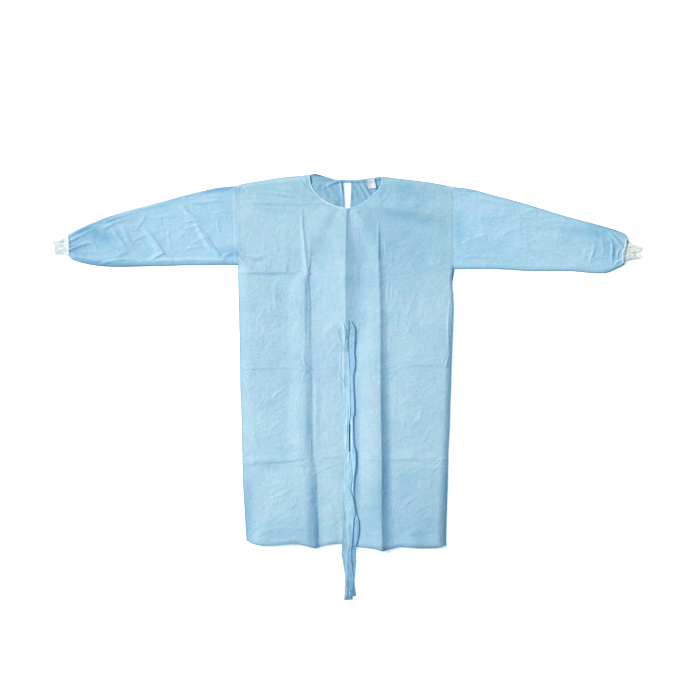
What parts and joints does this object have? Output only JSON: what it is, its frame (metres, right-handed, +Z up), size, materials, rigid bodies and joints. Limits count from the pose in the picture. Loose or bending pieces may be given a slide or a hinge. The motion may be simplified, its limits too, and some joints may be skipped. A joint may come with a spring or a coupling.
{
  "type": "isolation gown laid flat",
  "caption": "Light blue disposable isolation gown laid flat, with long sleeves, off-white knit cuffs, a round neck with a back slit, and a doubled waist tie hanging down the front.",
  "frame": {"origin": "bottom centre of the gown's box, on the surface that it lies on", "axes": "+X towards the gown's right-hand side as it is looked down on, +Y towards the neck, +Z up out of the surface"},
  "size_m": [1.8368, 1.3296, 0.0067],
  "materials": {
    "nonwoven": "light blue nonwoven, thin film face with a faint sheen",
    "nonwoven_inside": "inner face of the nonwoven, seen in the neck, matte",
    "nonwoven_strip": "nonwoven cut in strips, binding and tie",
    "knit": "off-white ribbed knit, matte",
    "label_tape": "white tape, blank, smooth"
  },
  "bodies": {
    "root": {"front_panel": "nonwoven", "back_panel_left": "nonwoven_inside", "back_panel_right": "nonwoven_inside", "sleeve_left": "nonwoven", "sleeve_right": "nonwoven", "cuff_left": "knit", "cuff_right": "knit", "neck_binding_front": "nonwoven_strip", "neck_binding_back": "nonwoven_strip", "waist_tie": "nonwoven_strip", "label": "label_tape"}
  },
  "joints": []
}
